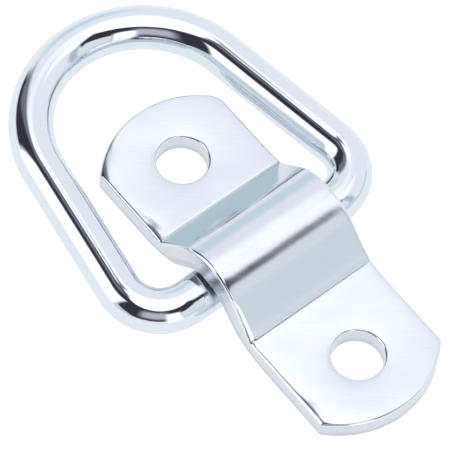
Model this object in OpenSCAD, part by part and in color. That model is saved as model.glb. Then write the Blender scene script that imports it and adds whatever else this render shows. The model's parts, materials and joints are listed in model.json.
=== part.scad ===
// Bolt on tie down: a D shaped ring of round bar, held to the deck by a pressed steel strap.
// The strap has one bolt hole in each flange and a raised saddle between them.
// The straight side of the ring lies in the tunnel under the saddle and turns in it.
// Origin: midway between the two bolt holes, on the deck. X runs along the strap, Z is up.
// At rest the ring lies on the deck round the flange on the -X side.

/* [Strap] */
// Width of the strap
strap_w = 21.2; // [16:0.2:30]
// Thickness of the strap
strap_t = 3.5; // [2:0.1:5]
// Distance between the centres of the two bolt holes
hole_spacing = 38; // [34:0.5:60]
// Diameter of the bolt holes
hole_d = 7.4; // [5:0.1:10]
// Reach of each flange beyond the centre of its hole
end_reach = 9.7; // [8:0.1:14]
// Radius of the arc that ends each flange
end_r = 14.3; // [12:0.1:18]
// Radius that blanking leaves along the upper edges of the strap
edge_r = 0.5; // [0.2:0.05:1]
// Radius that punching leaves round the upper rim of each hole
rim_r = 0.3; // [0.1:0.05:0.6]

/* [Saddle] */
// Slope of the saddle's two ramps
ramp_angle = 48; // [40:1:55]
// Shift of the saddle's crest from the middle of the strap
saddle_x = -0.75; // [-1:0.05:1]
// Radius in the corner where a flange turns up into a ramp
foot_r = 1; // [0.5:0.1:2]
// Radius of the same bend on the underside
under_r = 8; // [6:0.1:9]

/* [Ring] */
// Diameter of the ring's round bar
bar_d = 6.35; // [5:0.05:8]
// Length of the straight side, between its two corner bends
straight_l = 25.9; // [25:0.1:40]
// Radius of the two corner bends, at the middle of the bar
corner_r = 6.2; // [5:0.1:10]
// Angle by which each leg leans inwards to the bow
leg_lean = 9; // [2:0.5:12]
// Distance from the straight side to the end of the bow, both at the middle of the bar
ring_reach = 41.3; // [38:0.1:60]

/* [Fit] */
// Gap between the bar and the crest's round underside
bar_gap = 0.5; // [0.4:0.05:1]
// Gap above the bar when the ring lies on the deck
head_gap = 1; // [0.7:0.05:1.3]
// Where the bar lies in the tunnel at rest, from the crest's middle
rest_x = -0.4; // [-0.6:0.05:0.6]
// How far the ring lies to one side at rest
rest_y = -0.45; // [-1:0.05:1]

/* [Hidden] */
$fn = 96;
// Overshoot of every cutter, and the angle by which the end arcs' cutter passes the strap's sides
cut = 1;
end_over = 5;
// Straights run this far into the bends, and are slimmer than them by seam on each face
lap = 0.1;
seam = 0.004;
bar_r = bar_d / 2;
hole_r = hole_d / 2;

// Saddle: centre height of the crest's arc, the joins of ramp and crest, and the ramps' length
tunnel_r = bar_r + bar_gap;
crest_z = bar_d + head_gap - tunnel_r;
crest_r = tunnel_r + strap_t;
function ramp_x(r, z) = (r + (crest_z - z) * cos(ramp_angle)) / sin(ramp_angle);
function bend_run(r) = r * tan(ramp_angle / 2);
foot_x = ramp_x(crest_r, strap_t) + bend_run(foot_r);
ramp_l = (crest_z + crest_r * cos(ramp_angle) - strap_t) / sin(ramp_angle) - bend_run(foot_r);

// Flanges: half the strap's length, the centres of the end arcs and half the angle of each
half_l = hole_spacing / 2 + end_reach;
end_x = half_l - end_r;
end_half = asin(min(1, strap_w / 2 / end_r)) + end_over;

// Ring: the bow's radius and the legs' place follow from their tangent joins
half_straight = straight_l / 2;
bow_r = (corner_r * (1 + sin(leg_lean)) + half_straight * cos(leg_lean)
    - ring_reach * sin(leg_lean)) / (1 - sin(leg_lean));
bow_x = ring_reach - bow_r;
leg_x = corner_r * (1 + sin(leg_lean));
leg_y = half_straight + corner_r * cos(leg_lean);
leg_l = (bow_x + bow_r * sin(leg_lean) - leg_x) / cos(leg_lean);
hinge_x = saddle_x + rest_x;

// Section of the strap with its upper face at x = 0 and both upper edges rounded
module strap_section(w) {
    depth = strap_t + tunnel_r / 2;
    difference() {
        translate([-depth, -w / 2]) square([depth, w]);
        for (side = [0, 1]) mirror([0, side]) translate([0, w / 2]) edge_area(edge_r);
    }
}

// Area outside a rounded edge, with the sharp edge at the origin
module edge_area(r) {
    difference() {
        translate([-r, -r]) square(r + cut);
        translate([-r, -r]) circle(r);
    }
}

// Part of the strap that is straight: starts at the origin and runs along -X
module strap_run(l, w) {
    rotate([0, -90, 0]) linear_extrude(l) strap_section(w);
}

// Half of the strap's upper side: flange, foot bend, ramp and half the crest
module strap_half() {
    translate([-foot_x, 0, strap_t]) strap_run(half_l, strap_w);
    translate([-foot_x, 0, strap_t + foot_r]) rotate([90, 0, 0])
        rotate_extrude(angle = ramp_angle, start = 270)
            translate([foot_r, 0]) mirror([1, 0]) strap_section(strap_w);
    translate([0, 0, crest_z]) rotate([0, -ramp_angle, 0])
        translate([lap, 0, crest_r - seam]) strap_run(ramp_l + 2 * lap, strap_w - 2 * seam);
    translate([0, 0, crest_z]) rotate([90, 0, 0])
        rotate_extrude(angle = ramp_angle, start = 90) translate([crest_r, 0]) strap_section(strap_w);
}

// Side view of the tunnel: round crest, two ramps and the bends at their feet
module tunnel_area() {
    side_x = tunnel_r * sin(ramp_angle);
    side_z = crest_z + tunnel_r * cos(ramp_angle);
    base_x = ramp_x(tunnel_r, 0);
    run = bend_run(under_r);
    translate([0, crest_z]) circle(tunnel_r + seam);
    polygon([
        [-base_x, -cut],
        [-base_x, 0],
        [-side_x, side_z],
        [side_x, side_z],
        [base_x, 0],
        [base_x, -cut]
    ]);
    for (side = [0, 1]) mirror([side, 0]) difference() {
        polygon([
            [side_x, -cut],
            [base_x + run, -cut],
            [base_x + run, under_r],
            [base_x - run * cos(ramp_angle), run * sin(ramp_angle)]
        ]);
        translate([base_x + run, under_r]) circle(under_r + seam);
    }
}

// Plan of the strap: straight sides and an arc at each end
module strap_plan() {
    intersection() {
        square([2 * half_l, strap_w + cut], center = true);
        union() {
            square([2 * end_x, strap_w + cut], center = true);
            for (side = [-1, 1]) translate([side * end_x, 0]) circle(end_r);
        }
    }
}

// Cutter that rounds the upper edge of one end arc
module end_edge() {
    translate([end_x, 0, strap_t])
        rotate_extrude(angle = 2 * end_half, start = -end_half) translate([end_r, 0]) edge_area(edge_r);
}

// One bolt hole with its rounded upper rim
module bolt_hole() {
    translate([0, 0, -cut]) cylinder(r = hole_r, h = strap_t + 2 * cut);
    translate([0, 0, strap_t]) rotate_extrude() translate([hole_r, 0]) mirror([1, 0]) edge_area(rim_r);
}

module bracket() {
    color("silver") difference() {
        intersection() {
            translate([saddle_x, 0, 0]) for (side = [0, 1]) mirror([side, 0, 0]) strap_half();
            linear_extrude(crest_z + crest_r + cut) strap_plan();
        }
        translate([saddle_x, 0, 0]) rotate([90, 0, 0])
            linear_extrude(strap_w + 2 * cut, center = true) tunnel_area();
        for (side = [-1, 1]) translate([side * hole_spacing / 2, 0, 0]) bolt_hole();
        for (side = [0, 1]) mirror([side, 0, 0]) end_edge();
    }
}

// Bar bent round an arc of radius r
module bar_arc(r, start, angle) {
    rotate_extrude(angle = angle, start = start) translate([r, 0]) circle(bar_r);
}

// One side of the ring: half the straight side, a corner bend, a leg and half the bow
module ring_half() {
    rotate([-90, 0, 0]) cylinder(r = bar_r, h = half_straight);
    translate([-corner_r, half_straight, 0]) bar_arc(corner_r, 0, 90 + leg_lean);
    translate([-leg_x, leg_y, 0]) rotate([0, 0, leg_lean]) translate([lap, 0, 0])
        rotate([0, -90, 0]) cylinder(r = bar_r - seam, h = leg_l + 2 * lap);
    translate([-bow_x, 0, 0]) bar_arc(bow_r, 90 + leg_lean, 90 - leg_lean);
}

module d_ring() {
    color("gainsboro") translate([hinge_x, rest_y, bar_r])
        for (side = [0, 1]) mirror([0, side, 0]) ring_half();
}

bracket();
d_ring();
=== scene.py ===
# %% [markdown]
# # A bolt on D ring tie down
#
# This lesson dresses a small deck fitting: a pressed steel strap, bolted down at both ends, holds a
# D shaped ring of round bar in the tunnel under its saddle. Both pieces are bright zinc plated.
# The engineering model is loaded first and never changes. Everything made here is fitted to it.

# %% Load the fixed frame
import json
from math import asin, cos, degrees, pi, radians, sin, tan

import bmesh
import bpy
import numpy as np
from mathutils import Matrix, Vector


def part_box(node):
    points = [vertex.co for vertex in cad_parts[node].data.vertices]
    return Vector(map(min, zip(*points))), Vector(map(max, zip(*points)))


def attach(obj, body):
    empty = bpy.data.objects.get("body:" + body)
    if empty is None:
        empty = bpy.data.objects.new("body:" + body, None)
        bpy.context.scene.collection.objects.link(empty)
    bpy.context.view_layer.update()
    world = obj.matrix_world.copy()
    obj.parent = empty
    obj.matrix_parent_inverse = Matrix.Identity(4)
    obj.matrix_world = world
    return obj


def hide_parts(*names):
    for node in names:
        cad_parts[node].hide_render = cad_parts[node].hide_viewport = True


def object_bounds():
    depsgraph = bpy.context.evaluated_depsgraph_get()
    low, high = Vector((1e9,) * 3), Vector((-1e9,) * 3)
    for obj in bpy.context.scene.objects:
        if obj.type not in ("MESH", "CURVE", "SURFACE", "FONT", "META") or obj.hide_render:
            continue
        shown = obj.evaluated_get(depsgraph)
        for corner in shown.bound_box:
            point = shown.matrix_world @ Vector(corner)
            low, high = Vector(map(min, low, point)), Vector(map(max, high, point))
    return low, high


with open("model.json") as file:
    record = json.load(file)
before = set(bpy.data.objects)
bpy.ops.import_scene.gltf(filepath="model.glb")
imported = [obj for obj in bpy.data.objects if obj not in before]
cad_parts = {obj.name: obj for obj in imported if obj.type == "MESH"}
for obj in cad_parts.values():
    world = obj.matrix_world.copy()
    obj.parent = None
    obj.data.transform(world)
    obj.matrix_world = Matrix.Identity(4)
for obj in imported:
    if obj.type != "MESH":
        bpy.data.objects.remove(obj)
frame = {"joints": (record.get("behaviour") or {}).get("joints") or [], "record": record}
cad_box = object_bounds()
strap_low, strap_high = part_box("bracket")
ring_low, ring_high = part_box("d_ring")
mounts = {m["name"]: m for m in frame["record"]["mounts"]}
hinge = Vector(frame["joints"][0]["pos_m"])
print("strap", tuple(strap_high - strap_low), "ring", tuple(ring_high - ring_low))

# %% [markdown]
# ## Camera
#
# The product is seen from above the near flange with a long lens, so parallel edges stay nearly
# parallel. A camera is easiest to set by the direction it looks from: an azimuth round the object, an
# elevation above the deck, a distance, and a small roll about its own axis. The picture is square, so
# the lens follows from how many picture widths the object's distance holds.

# %% Set the camera
VIEW_AZIMUTH = radians(44.963)
VIEW_ELEVATION = radians(60.617)
VIEW_ROLL = radians(6.967)
VIEW_DISTANCE = 0.51013
VIEW_TARGET = Vector((-0.0087, -0.00046, 0))
PHOTO_SIDE = 450
FOCAL_PIXELS = 3695.8


def add_camera():
    back = Vector((
        sin(VIEW_AZIMUTH) * cos(VIEW_ELEVATION),
        -cos(VIEW_AZIMUTH) * cos(VIEW_ELEVATION),
        sin(VIEW_ELEVATION),
    ))
    camera = bpy.data.objects.new("camera", bpy.data.cameras.new("camera"))
    camera.data.lens = camera.data.sensor_width * FOCAL_PIXELS / PHOTO_SIDE
    look = back.to_track_quat("Z", "Y").to_matrix().to_4x4()
    camera.matrix_world = (
        Matrix.Translation(VIEW_TARGET + back * VIEW_DISTANCE) @ look @ Matrix.Rotation(VIEW_ROLL, 4, "Z")
    )
    bpy.context.scene.collection.objects.link(camera)
    bpy.context.scene.camera = camera
    return camera


camera = add_camera()
print("lens", round(camera.data.lens, 1), "mm")

# %% [markdown]
# ## Shader sums written as sums
#
# A finish is a small formula over the surface. Wrapping a socket in a class with Python's own operators
# lets the formula be read as one line, and each operator adds one Math node. Any other node comes from
# one method, which sets the node's settings first and then its inputs.

# %% A socket with operators
class Value:
    def __init__(self, tree, socket):
        self.tree = tree
        self.socket = socket

    def node(self, kind, settings=None, out=0, **inputs):
        made = self.tree.nodes.new(kind)
        for name, setting in (settings or {}).items():
            setattr(made, name, setting)
        for name, value in inputs.items():
            key = int(name[1:]) if name[0] == "i" and name[1:].isdigit() else name.replace("_", " ")
            if isinstance(value, Value):
                self.tree.links.new(value.socket, made.inputs[key])
            else:
                made.inputs[key].default_value = value
        return Value(self.tree, made.outputs[out])

    def math(self, operation, a, b=0.0, clamp=False):
        return self.node("ShaderNodeMath", {"operation": operation, "use_clamp": clamp}, i0=a, i1=b)

    def __add__(self, other):
        return self.math("ADD", self, other)

    def __sub__(self, other):
        return self.math("SUBTRACT", self, other)

    def __rsub__(self, other):
        return self.math("SUBTRACT", other, self)

    def __mul__(self, other):
        return self.math("MULTIPLY", self, other)

    def __truediv__(self, other):
        return self.math("DIVIDE", self, other)

    __radd__ = __add__
    __rmul__ = __mul__

    def step(self, low, high):
        """Rises smoothly from 0 at low to 1 at high."""
        return self.node("ShaderNodeMapRange", {"interpolation_type": "SMOOTHSTEP"},
                         Value=self, From_Min=low, From_Max=high)

    def mix(self, a, b):
        """Colour a where this value is 0, colour b where it is 1."""
        return self.node("ShaderNodeMix", {"data_type": "RGBA"}, out=2, i0=self, i6=a, i7=b)

    def vector(self, operation, other, out=0):
        return self.node("ShaderNodeVectorMath", {"operation": operation}, out=out, i0=self, i1=other)


# %% [markdown]
# ## Light
#
# Bright zinc shows little colour of its own. What the eye reads is the studio round it, which a bent
# bar draws out into thin streaks. A product studio for bright metal has a large soft light overhead,
# pale walls, and black flags with gaps between them, hung on the camera's side. Lamps and real cards
# could be set up, but the world can hold them all: each card is a soft edged rectangle in azimuth and
# elevation, painted over the ones before it. The camera itself sees plain white.

# %% The cards of the studio
WALL = (0.96, 0.95, 0.99, 1)
BLACK = (0.04, 0.037, 0.05, 1)
DIM = (0.21, 0.21, 0.24, 1)
SLATE = (0.52, 0.58, 0.62, 1)
GREY = (0.57, 0.545, 0.60, 1)
PALE = (0.87, 0.875, 0.90, 1)
MIST = (0.77, 0.815, 0.845, 1)
HAZE = (0.66, 0.74, 0.76, 1)
TEAL = (0.675, 0.81, 0.836, 1)
BRIGHT = (1.24, 1.22, 1.22, 1)
WHITE = (1.45, 1.45, 1.45, 1)
CARDS = [
    # azimuth and elevation of the edges in degrees, lean of the upright edges, slope of the level ones,
    # softness, tone
    ((-90, 70), (7, 80), 0, 0, 4, BLACK),
    ((0, 84), (8, 80), 0.85, 0, 2, BLACK),
    ((-210, -182), (57, 72), 2, 0, 5, DIM),
    ((-96, -78), (22, 60), 0, 0, 6, DIM),
    ((-50, -9), (3, 52), 0, 0.15, 4, WHITE),
    ((27, 66), (19, 50), 0, 0, 8, GREY),
    ((64, 86), (-10, 42), 0, 0, 5, WHITE),
    ((87, 118), (6, 41), 0, 0.37, 2, PALE),
    ((92, 118), (6, 17), 0, 0, 2, MIST),
    ((117, 127), (10, 50), 0.15, 0, 3, SLATE),
    ((105, 165), (0, 8), 0, 0, 3, HAZE),
    ((-12, 14), (0, 15), 0, -0.4, 3, HAZE),
    ((-118, -84), (66.5, 72), 0, 0.15, 2, DIM),
    ((-126, -100), (9, 33), 0, 0, 7, TEAL),
    ((130, 198), (52, 74), 0, 0, 5, BRIGHT),
]
# azimuth and elevation of the middle, radius and softness
GLOW = (255, 79, 16, 11)
OVERHEAD = [(60, 81.4, 20.4, 1.5), (-112, 82, 11.3, 1.5)]
AMBIENT = 0.9


def direction(azimuth, elevation):
    a, e = radians(azimuth), radians(elevation)
    return (sin(a) * cos(e), -cos(a) * cos(e), sin(e))


def band(value, edges, soft):
    """Mask that is 1 between two edges."""
    low, high = edges
    return value.step(low - soft, low + soft) * (1 - value.step(high - soft, high + soft))


def disc(towards, middle_azimuth, middle_elevation, radius, soft):
    """Mask that is 1 inside a round card."""
    facing = towards.vector("DOT_PRODUCT", direction(middle_azimuth, middle_elevation), out=1)
    return facing.step(cos(radians(radius + soft)), cos(radians(radius - soft)))


def build_world():
    world = bpy.data.worlds.new("studio")
    bpy.context.scene.world = world
    world.use_nodes = True
    tree = world.node_tree
    tree.nodes.clear()
    start = Value(tree, None)
    towards = start.node("ShaderNodeTexCoord")
    x, y, z = (towards.node("ShaderNodeSeparateXYZ", out=i, i0=towards) for i in range(3))
    elevation = z.math("ARCSINE", z) * degrees(1)
    azimuth = x.math("ARCTAN2", x, 0 - y) * degrees(1)
    studio = disc(towards, *GLOW).mix(WALL, WHITE)
    for azimuths, elevations, lean, slope, soft, tone in CARDS:
        middle = sum(azimuths) / 2
        upright = band(azimuth - elevation * lean, azimuths, soft)
        level = band(elevation - (azimuth - middle) * slope, elevations, soft)
        studio = (upright * level).mix(studio, tone)
    for lamp in OVERHEAD:
        studio = disc(towards, *lamp).mix(studio, WHITE)
    by_camera = start.node("ShaderNodeLightPath", out=0)
    by_metal = start.node("ShaderNodeLightPath", out=3)
    seen = by_camera.mix(by_metal.mix((AMBIENT, AMBIENT, AMBIENT, 1), studio), (1, 1, 1, 1))
    background = start.node("ShaderNodeBackground", Color=seen, Strength=1.0)
    output = tree.nodes.new("ShaderNodeOutputWorld")
    tree.links.new(background.socket, output.inputs["Surface"])


build_world()
bpy.context.scene.view_settings.view_transform = "Standard"

# %% [markdown]
# ## Floor
#
# The fitting lies on a pale sheet. The sheet is a plain plane at the height of the deck face.

# %% Lay the floor
FLOOR_SIDE = 4.0
FLOOR_COLOUR = (0.86, 0.86, 0.87, 1)
CAMERA_GLOW = 0.65
METAL_SHARE = 0.85
METAL_FLOOR = (1.02, 1.04, 1.04, 1)


def add_floor():
    mesh = bpy.data.meshes.new("floor")
    h = FLOOR_SIDE / 2
    mesh.from_pydata([(-h, -h, 0), (h, -h, 0), (h, h, 0), (-h, h, 0)], [], [(0, 1, 2, 3)])
    floor = bpy.data.objects.new("floor", mesh)
    floor.location.z = cad_box[0][2] - 0.00002
    bpy.context.scene.collection.objects.link(floor)
    material = bpy.data.materials.new("pale_sheet")
    material.use_nodes = True
    tree = material.node_tree
    tree.nodes.clear()
    start = Value(tree, None)
    matt = start.node("ShaderNodeBsdfDiffuse", Color=FLOOR_COLOUR)
    by_camera = start.node("ShaderNodeLightPath", out=0)
    by_metal = start.node("ShaderNodeLightPath", out=3)
    glow = start.node("ShaderNodeEmission", Color=(1, 1, 1, 1), Strength=by_camera * CAMERA_GLOW)
    sheet = start.node("ShaderNodeAddShader", i0=matt, i1=glow)
    even = start.node("ShaderNodeEmission", Color=METAL_FLOOR, Strength=1.0)
    upper = start.node("ShaderNodeMixShader", i0=by_metal * METAL_SHARE, i1=sheet, i2=even)
    from_below = start.node("ShaderNodeNewGeometry", out=6)
    clear = start.node("ShaderNodeBsdfTransparent")
    shown = start.node("ShaderNodeMixShader", i0=from_below, i1=upper, i2=clear)
    output = tree.nodes.new("ShaderNodeOutputMaterial")
    tree.links.new(shown.socket, output.inputs["Surface"])
    mesh.materials.append(material)
    return floor


floor = add_floor()

# %% [markdown]
# ## Paths of straights and bends
#
# Both pieces are bent from straight stock, so both follow a path of straights and round bends. One
# helper walks such a path: each step is a length and the angle turned over it.

# %% Walk a bent path
def walk(start, heading, steps, at):
    """Points and headings at the distances at, along steps of (length, angle turned)."""
    at = np.asarray(at, float)
    points = np.zeros((len(at), 2))
    headings = np.zeros(len(at))
    place = np.array(start, float)
    done = 0.0
    for number, (length, angle) in enumerate(steps):
        last = number == len(steps) - 1
        here = (at >= done - 1e-12) & ((at < done + length) | last)
        run = at[here] - done
        turned = angle * run / length
        if angle:
            r = length / angle
            step = np.stack([np.sin(heading + turned) - sin(heading), cos(heading) - np.cos(heading + turned)], 1) * r
            move = np.array([sin(heading + angle) - sin(heading), cos(heading) - cos(heading + angle)]) * r
        else:
            step = run[:, None] * np.array([cos(heading), sin(heading)])
            move = length * np.array([cos(heading), sin(heading)])
        points[here] = place + step
        headings[here] = heading + turned
        place = place + move
        heading += angle
        done += length
    return points, headings


def spread(steps, *gaps):
    """Distances along a path, with every join of two steps among them. Each step's gap is at most gaps[i]."""
    ends = np.concatenate([[0], np.cumsum([length for length, angle in steps])])
    gaps = gaps if len(gaps) > 1 else gaps * len(steps)
    stops = [np.linspace(a, b, int(np.ceil((b - a) / gap)) + 1)[:-1] for a, b, gap in zip(ends[:-1], ends[1:], gaps)]
    return np.concatenate(stops + [ends[-1:]])


# %% [markdown]
# ## The ring
#
# The ring is one steel bar, bent at two corners and round a bow, with its ends welded under the saddle.
# A swept circle gives an exact bar. A curve object with a bevel could do it too, but a mesh lets every
# joint of straight and bend fall on a ring of points, and its normals stay even for a mirror finish.

# %% Ring sizes
MM = 0.001
BAR_R = (ring_high.z - ring_low.z) / 2
HALF_STRAIGHT = 12.95 * MM
CORNER_R = 6.2 * MM
LEG_LEAN = radians(9)
RING_REACH = hinge.x - ring_low.x - BAR_R
BOW_R = (
    CORNER_R * (1 + sin(LEG_LEAN)) + HALF_STRAIGHT * cos(LEG_LEAN) - RING_REACH * sin(LEG_LEAN)
) / (1 - sin(LEG_LEAN))
LEG_L = (RING_REACH - BOW_R * (1 - sin(LEG_LEAN)) - CORNER_R * (1 + sin(LEG_LEAN))) / cos(LEG_LEAN)
print("ring reach", round(RING_REACH / MM, 2), "bow radius", round(BOW_R / MM, 2), "leg", round(LEG_L / MM, 2))

# %% Sweep the bar
BAR_SIDES = 80
BAR_GAP = 0.3 * MM
WELD = 0.0001 * MM


def grid_mesh(name, patches, marks, mark_name):
    """One smooth skin from grids of points, welded where they meet. Each point keeps a mark of its own."""
    faces, first = [], 0
    for patch in patches:
        rows, columns = patch.shape[:2]
        number = first + np.arange(rows * columns).reshape(rows, columns)
        quads = np.stack([number[:-1, :-1], number[1:, :-1], number[1:, 1:], number[:-1, 1:]], -1)
        faces += quads.reshape(-1, 4).tolist()
        first += rows * columns
    mesh = bpy.data.meshes.new(name)
    mesh.from_pydata(np.concatenate([patch.reshape(-1, 3) for patch in patches]).tolist(), [], faces)
    mark = mesh.attributes.new(mark_name, "FLOAT_VECTOR", "POINT")
    mark.data.foreach_set("vector", np.concatenate([m.reshape(-1, 3) for m in marks]).ravel())
    skin = bmesh.new()
    skin.from_mesh(mesh)
    bmesh.ops.remove_doubles(skin, verts=skin.verts, dist=WELD)
    bmesh.ops.recalc_face_normals(skin, faces=skin.faces)
    skin.to_mesh(mesh)
    skin.free()
    mesh.shade_smooth()
    piece = bpy.data.objects.new(name, mesh)
    bpy.context.scene.collection.objects.link(piece)
    return piece


def sweep_ring():
    corner = (CORNER_R * (pi / 2 + LEG_LEAN), pi / 2 + LEG_LEAN)
    bow = (BOW_R * (pi - 2 * LEG_LEAN), pi - 2 * LEG_LEAN)
    steps = [(HALF_STRAIGHT, 0), corner, (LEG_L, 0), bow, (LEG_L, 0), corner, (HALF_STRAIGHT, 0)]
    along = spread(steps, BAR_GAP)
    middle, heading = walk((hinge.x, hinge.y), pi / 2, steps, along)
    around = np.linspace(0, 2 * pi, BAR_SIDES + 1)
    side = np.stack([np.sin(heading), -np.cos(heading)], 1)
    points = np.zeros((len(along), len(around), 3))
    points[:, :, :2] = middle[:, None] + side[:, None] * (BAR_R * np.cos(around))[None, :, None]
    points[:, :, 2] = hinge.z + BAR_R * np.sin(around)
    marks = np.zeros_like(points)
    marks[:, :, 0] = np.minimum(along, along[-1] - along)[:, None]
    marks[:, :, 1] = BAR_R * np.cos(around)
    marks[:, :, 2] = BAR_R * np.sin(around)
    return grid_mesh("ring", [points], [marks / MM], "bar")


ring = sweep_ring()
print("ring points", len(ring.data.vertices))

# %% [markdown]
# ## The strap
#
# The strap is cut from plate and then pressed to shape, and it is made here the same way. First comes
# the flat blank: a mesh in the plate's own coordinates, along, across and down into the metal. The
# press then moves every point to its place on the bent side view. So a rolled edge or a hole's rim
# is drawn once on the flat blank, and it follows the bends without more work.

# %% Strap sizes
STRAP_W = strap_high.y - strap_low.y
STRAP_HALF_L = (strap_high.x - strap_low.x) / 2
STRAP_T = 3.5 * MM
HOLE_R = mounts["bolt_holes"]["dims"]["hole_r_mm"] * MM
HOLE_X = mounts["bolt_holes"]["dims"]["spacing_x_mm"] * MM / 2
END_R = 14.3 * MM
EDGE_R = 0.42 * MM
RIM_R = 0.3 * MM
BURR_R = 0.12 * MM
RAMP = radians(48)
SADDLE_X = -0.75 * MM
FOOT_R = 0.75 * MM
UNDER_R = 8 * MM
TUNNEL_R = BAR_R + 0.5 * MM
CREST_R = TUNNEL_R + STRAP_T
CREST_Z = strap_high.z - CREST_R


def ramp_foot(crest, level):
    """Distance from the saddle's middle to the point where the ramp outside that crest meets a level."""
    return (crest + (CREST_Z - level) * cos(RAMP)) / sin(RAMP)


def side_line(crest, level, bend):
    """One line of the saddle's side view: half its run on the level and its steps in between."""
    reach = ramp_foot(crest, level) + bend * tan(RAMP / 2)
    slope = (CREST_Z + crest * cos(RAMP) - level) / sin(RAMP) - bend * tan(RAMP / 2)
    half = [(bend * RAMP, RAMP), (slope, 0)]
    return reach, half + [(2 * crest * RAMP, -2 * RAMP)] + half[::-1]


TOP_REACH, TOP_STEPS = side_line(CREST_R, STRAP_T, FOOT_R)
UNDER_REACH, UNDER_STEPS = side_line(TUNNEL_R, 0, UNDER_R)
TOP_FLATS = [STRAP_HALF_L + SADDLE_X - TOP_REACH, STRAP_HALF_L - SADDLE_X - TOP_REACH]
UNDER_FLATS = [STRAP_HALF_L + SADDLE_X - UNDER_REACH, STRAP_HALF_L - SADDLE_X - UNDER_REACH]
TOP_HALF = sum(length for length, angle in TOP_STEPS) / 2
TOP_MIDDLE = TOP_FLATS[0] + TOP_HALF
BLANK_L = 2 * TOP_HALF + sum(TOP_FLATS)
print("blank length", round(BLANK_L / MM, 2), "crest height", round((CREST_Z + CREST_R) / MM, 2))

# %% Press the blank
def press(along, across, depth):
    """Moves blank points to the bent strap: along from the left end, across, and depth below the top."""
    top_steps = [(TOP_FLATS[0], 0)] + TOP_STEPS + [(TOP_FLATS[1], 0)]
    under_steps = [(UNDER_FLATS[0], 0)] + UNDER_STEPS + [(UNDER_FLATS[1], 0)]
    top, heading = walk((-STRAP_HALF_L, STRAP_T), 0, top_steps, along)
    half_crest = CREST_R * RAMP
    under_middle = UNDER_FLATS[0] + sum(length for length, angle in UNDER_STEPS) / 2
    under_l = under_middle * 2 - UNDER_FLATS[0] + UNDER_FLATS[1]
    marks = [0, UNDER_FLATS[0], TOP_MIDDLE - half_crest, TOP_MIDDLE + half_crest, BLANK_L - UNDER_FLATS[1], BLANK_L]
    under_half = TUNNEL_R * RAMP
    under_marks = [0, UNDER_FLATS[0], under_middle - under_half, under_middle + under_half,
                   under_l - UNDER_FLATS[1], under_l]
    under, _ = walk((-STRAP_HALF_L, 0), 0, under_steps, np.interp(along, marks, under_marks))
    share = (depth / STRAP_T)[:, None]
    side_view = top * (1 - share) + under * share
    return np.stack([side_view[:, 0], across, side_view[:, 1]], 1)


# %% [markdown]
# The blank is made of patches, each a plain grid of points: the middle under the saddle, one ring of
# faces round each hole, and the walls. Patches that meet share the points of their common edge, so
# welding the doubles afterwards makes one closed skin. The outline is walked like any other path: a
# straight side, a small corner, the end arc, a small corner and the other side.

# %% Draw the blank
SHEET_GAP = 0.35 * MM
BEND_GAP = 0.06 * MM
ACROSS = np.sin(np.linspace(-1, 1, 57) * radians(82)) / sin(radians(82))
FLANGE_SHARES = np.linspace(0, 1, 23) ** 1.7
CORNER_CUT = {(-1, -1): 0.9 * MM, (-1, 1): 2.8 * MM, (1, -1): 0.35 * MM, (1, 1): 1 * MM}
JOIN_X = 12.6 * MM
SHARP = 0.02 * MM
OUTLINE_COUNTS = (34, 8, 35)


def blank_place(x, side):
    """Distance along the blank of the places x on a flange, measured outwards from the origin."""
    return STRAP_HALF_L - x if side < 0 else BLANK_L - (STRAP_HALF_L - x)


def half_outline(side, hand, inset):
    """Half a flange's outline moved inwards: from the join, round one corner, to the middle of its end."""
    corner = max(CORNER_CUT[side, hand] - inset, SHARP)
    r = END_R - inset
    half = asin((STRAP_W / 2 - inset - corner) / (r - corner))
    straight = STRAP_HALF_L - END_R + (r - corner) * cos(half) - JOIN_X
    steps = [(straight, 0), (corner * (pi / 2 - half), pi / 2 - half), (r * half, half)]
    ends = np.cumsum([0] + [length for length, angle in steps])
    stops = [np.linspace(u, v, n + 1)[1:] for u, v, n in zip(ends[:-1], ends[1:], OUTLINE_COUNTS)]
    points, _ = walk((JOIN_X, inset - STRAP_W / 2), 0, steps, np.concatenate([[0]] + stops))
    return np.column_stack([blank_place(points[:, 0], side), -hand * points[:, 1]])


def flange_side(side, inset):
    """Outline of one flange moved inwards, from the join at -y round the end to the join at +y."""
    return np.concatenate([half_outline(side, -1, inset), half_outline(side, 1, inset)[-2::-1]])


def flange_loop(side, inset):
    """The same, closed along the join."""
    points = flange_side(side, inset)
    across = ACROSS[::-1] * (STRAP_W / 2 - inset)
    join = np.column_stack([np.full(len(across), points[0, 0]), across])
    return np.concatenate([points, join[1:]])


def rim_loop(side, r):
    """A circle round a flange's hole, with one point for each point of the flange's loop."""
    centre = np.array([blank_place(HOLE_X, side), 0])
    away = flange_loop(side, 0) - centre
    return centre + away / np.linalg.norm(away, axis=1)[:, None] * r


def middle_stations():
    """Distances along the blank between the flanges' joins, close together where it bends."""
    first, last = blank_place(JOIN_X, -1), blank_place(JOIN_X, 1)
    steps = [(TOP_FLATS[0] - first, 0)] + TOP_STEPS + [(last - BLANK_L + TOP_FLATS[1], 0)]
    return first + spread(steps, *(BEND_GAP if length < 2 * MM else SHEET_GAP for length, angle in steps))


def layer(flat, depth):
    """Blank points at one depth below the strap's upper face."""
    return np.concatenate([flat, np.full(flat.shape[:-1] + (1,), depth)], -1)


def sheet_patches(inset, rim, depth):
    """The grids that cover one face of the blank."""
    along = middle_stations()
    across = ACROSS * (STRAP_W / 2 - inset)
    patches = [layer(np.stack(np.meshgrid(along, across, indexing="ij"), -1), depth)]
    for side in (-1, 1):
        outer, inner = flange_loop(side, inset), rim_loop(side, HOLE_R + rim)
        share = FLANGE_SHARES[:, None, None]
        patches.append(layer(outer * (1 - share) + inner * share, depth))
    return patches


# %% [markdown]
# Blanking rolls the upper edge over and leaves a straight wall below it, with a small burr edge at the
# bottom. A few loops of points draw that: each loop is the outline moved inwards by an inset and down
# by a depth.

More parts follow.
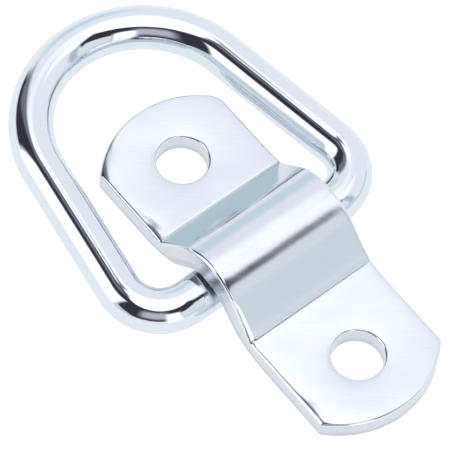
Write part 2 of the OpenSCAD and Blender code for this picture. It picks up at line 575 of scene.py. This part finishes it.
# %% Close the blank's walls and press it
CORNER_BLEND = 1.6 * MM
DROOP_D = 0.06 * MM
DROOP_W = 0.6 * MM
NEAR_W = 7 * MM
DROOP_PLACES = [
    # distance along the blank, spread, extra depth of the sunk edge, reach inwards
    (3.5 * MM, 3 * MM, 0.40 * MM, 0.85 * MM),
    (16.3 * MM, 2.8 * MM, 0.38 * MM, 0.85 * MM),
    (BLANK_L - 8 * MM, 5 * MM, 0.34 * MM, 0.75 * MM),
    (BLANK_L - 4.5 * MM, 1.5 * MM, 0.1 * MM, 0.6 * MM),
]
CURL_R = 330 * MM
DISH_D = 0.1 * MM
DISH_W = 1.4 * MM
MARKS = [
    # side of the saddle, distance in from the foot as a share of its bend, width, depth
    (-1, 0.1, 0.13 * MM, 0.024 * MM),
    (-1, 0.9, 0.13 * MM, 0.024 * MM),
    (1, 1.0, 0.9 * MM, -0.085 * MM),
]
SHEAR_W = 1.05 * MM
SHEAR_SLOPE = tan(radians(17))
CREST_NARROW = 0.25 * MM
FOOT_WIDE = 0.12 * MM
FOOT_SPREAD = 2.2 * MM


def quarter(r, count):
    """Inset and depth of the loops over a rolled edge of radius r, from the face to the wall."""
    return [(r * (1 - sin(t)), r * (1 - cos(t))) for t in np.linspace(0, pi / 2, count + 1)]


def wall_levels(r):
    """Inset and depth of every loop from the upper face down to the lower one."""
    wall = [(0, STRAP_T * share) for share in (0.3, 0.45, 0.6, 0.75, 0.88)]
    burr = [(inset, STRAP_T - depth) for inset, depth in quarter(BURR_R, 3)[::-1]]
    return quarter(r, 6) + wall + burr


def wall_patches():
    along = middle_stations()
    outer, rims = wall_levels(EDGE_R), wall_levels(RIM_R)
    patches = []
    for side in (-1, 1):
        patches.append(np.array([layer(flange_side(side, inset), depth) for inset, depth in outer]))
        patches.append(np.array([layer(rim_loop(side, HOLE_R + inset), depth) for inset, depth in rims]))
        edges = [np.column_stack([along, np.full(len(along), side * (STRAP_W / 2 - inset))]) for inset, _ in outer]
        patches.append(np.array([layer(edge, depth) for edge, (_, depth) in zip(edges, outer)]))
    return patches


def edge_distance(along, across):
    """Distance from a blank point to the outline, blended over the corners."""
    inward = np.minimum(along, BLANK_L - along)
    side = STRAP_W / 2 - np.abs(across)
    end = END_R - np.hypot(np.minimum(inward - END_R, 0), across)
    end = np.where(inward < END_R, end, STRAP_W)
    share = np.clip(0.5 + 0.5 * (end - side) / CORNER_BLEND, 0, 1)
    return end + (side - end) * share - CORNER_BLEND * share * (1 - share)


def near_side(across):
    """Weight that is 1 at the strap's near edge and 0 on its far half."""
    return np.clip(-across / NEAR_W, 0, 1) ** 2


def droop(along, across):
    """How far the upper face sinks near the outline and round the holes."""
    inside = np.maximum(edge_distance(along, across), 0)
    sunk = DROOP_D * np.exp(-inside / DROOP_W)
    for place, width, extra, reach in DROOP_PLACES:
        sunk = sunk + extra * np.exp(-((along - place) / width) ** 2 - inside / reach) * near_side(across)
    for side in (-1, 1):
        away = np.hypot(along - blank_place(HOLE_X, side), across) - HOLE_R
        sunk = sunk + DISH_D * np.exp(-np.maximum(away, 0) / DISH_W)
    for flat, centre in zip(TOP_FLATS, (TOP_FLATS[0] / 2, BLANK_L - TOP_FLATS[1] / 2)):
        sunk = sunk + np.maximum((flat / 2) ** 2 - (along - centre) ** 2, 0) / (2 * CURL_R)
    return sunk


def press_marks(along):
    """Fine grooves along one foot of the saddle, where the tool's edge bit in, and a soft swelling at the other."""
    sunk = 0 * along
    for side, share, width, depth in MARKS:
        place = TOP_MIDDLE + side * (TOP_HALF - share * TOP_STEPS[0][0])
        sunk = sunk + depth * np.exp(-((along - place) / width) ** 2)
    return sunk


def sheared_edge(along, across):
    """A slanting face along the far ramp's near edge, which grows wider towards the foot."""
    top, foot = TOP_MIDDLE + CREST_R * RAMP, TOP_MIDDLE + TOP_HALF - TOP_STEPS[0][0]
    places = [top - SHEAR_W / 2, top + SHEAR_W, foot, foot + 2 * TOP_STEPS[0][0]]
    width = SHEAR_W * np.interp(along, places, [0, 0.75, 1, 0])
    return SHEAR_SLOPE * np.maximum(width - edge_distance(along, across), 0) * near_side(across)


def squeeze(along):
    """Share by which the upper face is narrower than the blank: on the crest, and the reverse at its feet."""
    foot = TOP_HALF - TOP_STEPS[0][0] / 2
    crest = np.exp(-((along - TOP_MIDDLE) / (0.75 * CREST_R)) ** 2)
    feet = sum(np.exp(-((along - TOP_MIDDLE - side * foot) / FOOT_SPREAD) ** 2) for side in (-1, 1))
    return (CREST_NARROW * crest - FOOT_WIDE * feet) / (STRAP_W / 2)


def form(patch):
    """Sinks the edges, presses the blank and squeezes what bends."""
    along, across, depth = (patch[..., i].ravel() for i in range(3))
    lower = depth / STRAP_T
    sunk = droop(along, across) + press_marks(along) + sheared_edge(along, across)
    depth = depth + sunk * (1 - lower)
    across = across * (1 - squeeze(along) * (1 - 2 * lower))
    return press(along, across, depth).reshape(patch.shape)


def build_strap():
    patches = sheet_patches(EDGE_R, RIM_R, 0) + sheet_patches(BURR_R, BURR_R, STRAP_T) + wall_patches()
    return grid_mesh("strap", [form(patch) for patch in patches], [patch / MM for patch in patches], "blank")


strap = build_strap()
print("strap points", len(strap.data.vertices))

# %% [markdown]
# ## Bright zinc
#
# Electroplated zinc is a soft blue white metal. Its plating copies what is under it: the ring's drawn bar
# is nearly a mirror with fine lines along it, and the strap's rolled plate is duller and was linished
# before plating. An image could carry such marks, but sums of noise stay sharp at any distance. Every
# point of the strap remembers its place on the flat blank, and every point of the ring its place along
# the bar, so the marks follow the bends as they do on the real pieces. Heights are in millimetres.

# %% Helpers for both finishes
def marks(start, name):
    """The places, in millimetres, that the points of a mesh remember."""
    return start.node("ShaderNodeAttribute", {"attribute_name": name}, out=1)


def grain(place, sizes, turn=0.0, detail=2.0):
    """Noise from -0.5 to 0.5 whose spots have the given sizes, turned in the plane of the first two."""
    spot = place.node("ShaderNodeMapping", {"vector_type": "TEXTURE"}, Vector=place,
                      Rotation=(0, 0, turn), Scale=sizes)
    return spot.node("ShaderNodeTexNoise", Vector=spot, Scale=1.0, Detail=detail) - 0.5


def zinc(name):
    """A new metal material: its start value and its shader."""
    material = bpy.data.materials.new(name)
    material.use_nodes = True
    shader = material.node_tree.nodes["Principled BSDF"]
    shader.inputs["Metallic"].default_value = 1.0
    return material, Value(material.node_tree, None), shader


def feed(start, shader, colour, roughness, height):
    start.tree.links.new(colour.socket, shader.inputs["Base Color"])
    start.tree.links.new(roughness.socket, shader.inputs["Roughness"])
    bump = start.node("ShaderNodeBump", Strength=1.0, Distance=MM, Height=height)
    start.tree.links.new(bump.socket, shader.inputs["Normal"])


# %% [markdown]
# The ring's bar was drawn through a die, which leaves hair lines along it. Bending adds a faint ripple at
# the two corners and the bow, and the butt weld under the saddle is ground flush but stays a little duller.

# %% Zinc on the ring
RING_ZINC = (0.79, 0.84, 0.90, 1)
RING_SHADE = (0.75, 0.81, 0.875, 1)
WELD_ZINC = (0.60, 0.63, 0.66, 1)
CORNER_FROM = HALF_STRAIGHT / MM
CORNER_TO = (HALF_STRAIGHT + CORNER_R * (pi / 2 + LEG_LEAN)) / MM


def ring_zinc():
    material, start, shader = zinc("ring_zinc")
    bar = marks(start, "bar")
    along = bar.node("ShaderNodeSeparateXYZ", i0=bar)
    lines = grain(bar, (18, 0.35, 0.35), detail=3.0)
    cloud = grain(bar, (7, 3, 3))
    ripple = grain(bar, (1.6, 2.5, 2.5)) * (0.35 + band(along, (CORNER_FROM, CORNER_TO), 1.5))
    weld = 1 - along.step(0.9, 1.6)
    bead = grain(bar, (0.5, 1.2, 1.2)) * weld
    colour = weld.mix((cloud + 0.5).mix(RING_SHADE, RING_ZINC), WELD_ZINC)
    roughness = 0.06 + 0.05 * (cloud + lines) + 0.2 * weld
    height = 0.0006 * lines + 0.012 * cloud + 0.003 * ripple + 0.03 * bead
    feed(start, shader, colour, roughness.math("MAXIMUM", roughness, 0.03), height)
    return material


ring.data.materials.append(ring_zinc())

# %% [markdown]
# The strap's faces carry faint cloudy patches and a short cross grain from linishing, which runs askew to
# the strap. The plating's own skin is like very fine orange peel. The cut walls are different: the punch
# burnishes their upper part and tears the lower part, with fine tracks down the wall. Edges are rubbed a
# little brighter. The underside is rougher, and its darker colour is painted shade for the tunnel under
# the saddle.

# %% Zinc on the strap
STRAP_ZINC = (0.77, 0.815, 0.87, 1)
STRAP_SHADE = (0.72, 0.775, 0.84, 1)
RUBBED_ZINC = (0.83, 0.86, 0.89, 1)
CUT_ZINC = (0.72, 0.76, 0.82, 1)
TORN_ZINC = (0.67, 0.69, 0.74, 1)
# darker colour of the underside: painted shade for the tunnel under the saddle
UNDERSIDE_PAINTED_SHADE = (0.66, 0.71, 0.75, 1)
LINISH_TURN = radians(48)
WALL_FROM = EDGE_R / MM
WALL_TO = (STRAP_T - BURR_R) / MM


def strap_zinc():
    material, start, shader = zinc("strap_zinc")
    blank = marks(start, "blank")
    depth = blank.node("ShaderNodeSeparateXYZ", out=2, i0=blank)
    wall = depth.step(0.6 * WALL_FROM, 1.2 * WALL_FROM) * (1 - depth.step(0.97 * WALL_TO, 1.01 * WALL_TO))
    edge = depth.step(0.02, 0.25 * WALL_FROM) * (1 - wall) * (1 - depth.step(WALL_TO, WALL_TO + 0.01))
    cloud = grain(blank, (9, 6, 6), LINISH_TURN)
    wave = grain(blank, (11, 8, 8), LINISH_TURN, 1.0)
    linish = grain(blank, (9, 0.4, 0.4), LINISH_TURN, 4.0)
    peel = grain(blank, (0.5, 0.5, 0.5))
    tracks = grain(blank, (0.22, 0.22, 2.5), detail=3.0)
    torn = (depth + 1.2 * grain(blank, (3, 3, 3))).step(0.62 * WALL_TO, 0.75 * WALL_TO) * wall
    face = (cloud + 0.5 + linish).mix(STRAP_SHADE, STRAP_ZINC)
    # the underside is rougher, and its darker colour is painted shade for the tunnel under the saddle
    under = depth.step(WALL_TO, WALL_TO + 0.1)
    cut = torn.mix(CUT_ZINC, TORN_ZINC)
    colour = under.mix(wall.mix(edge.mix(face, RUBBED_ZINC), cut), UNDERSIDE_PAINTED_SHADE)
    roughness = 0.155 + 0.06 * cloud + 0.06 * linish + wall * (0.12 + 0.1 * tracks) + 0.08 * torn + 0.25 * under
    height = 0.07 * wave + (1 - wall) * (0.003 * linish + 0.0012 * peel) + wall * tracks * (0.0012 + 0.004 * torn)
    feed(start, shader, colour, roughness, height)
    return material


strap.data.materials.append(strap_zinc())

# %% [markdown]
# ## Fit the pieces to the frame
#
# Each dressed piece stands for its engineering solid and moves with the same body.

# %% Attach the pieces and hide the solids
for piece, body, slot in ((strap, "bracket", "bracket_zinc"), (ring, "d_ring", "ring_zinc")):
    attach(piece, body)
    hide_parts(body)
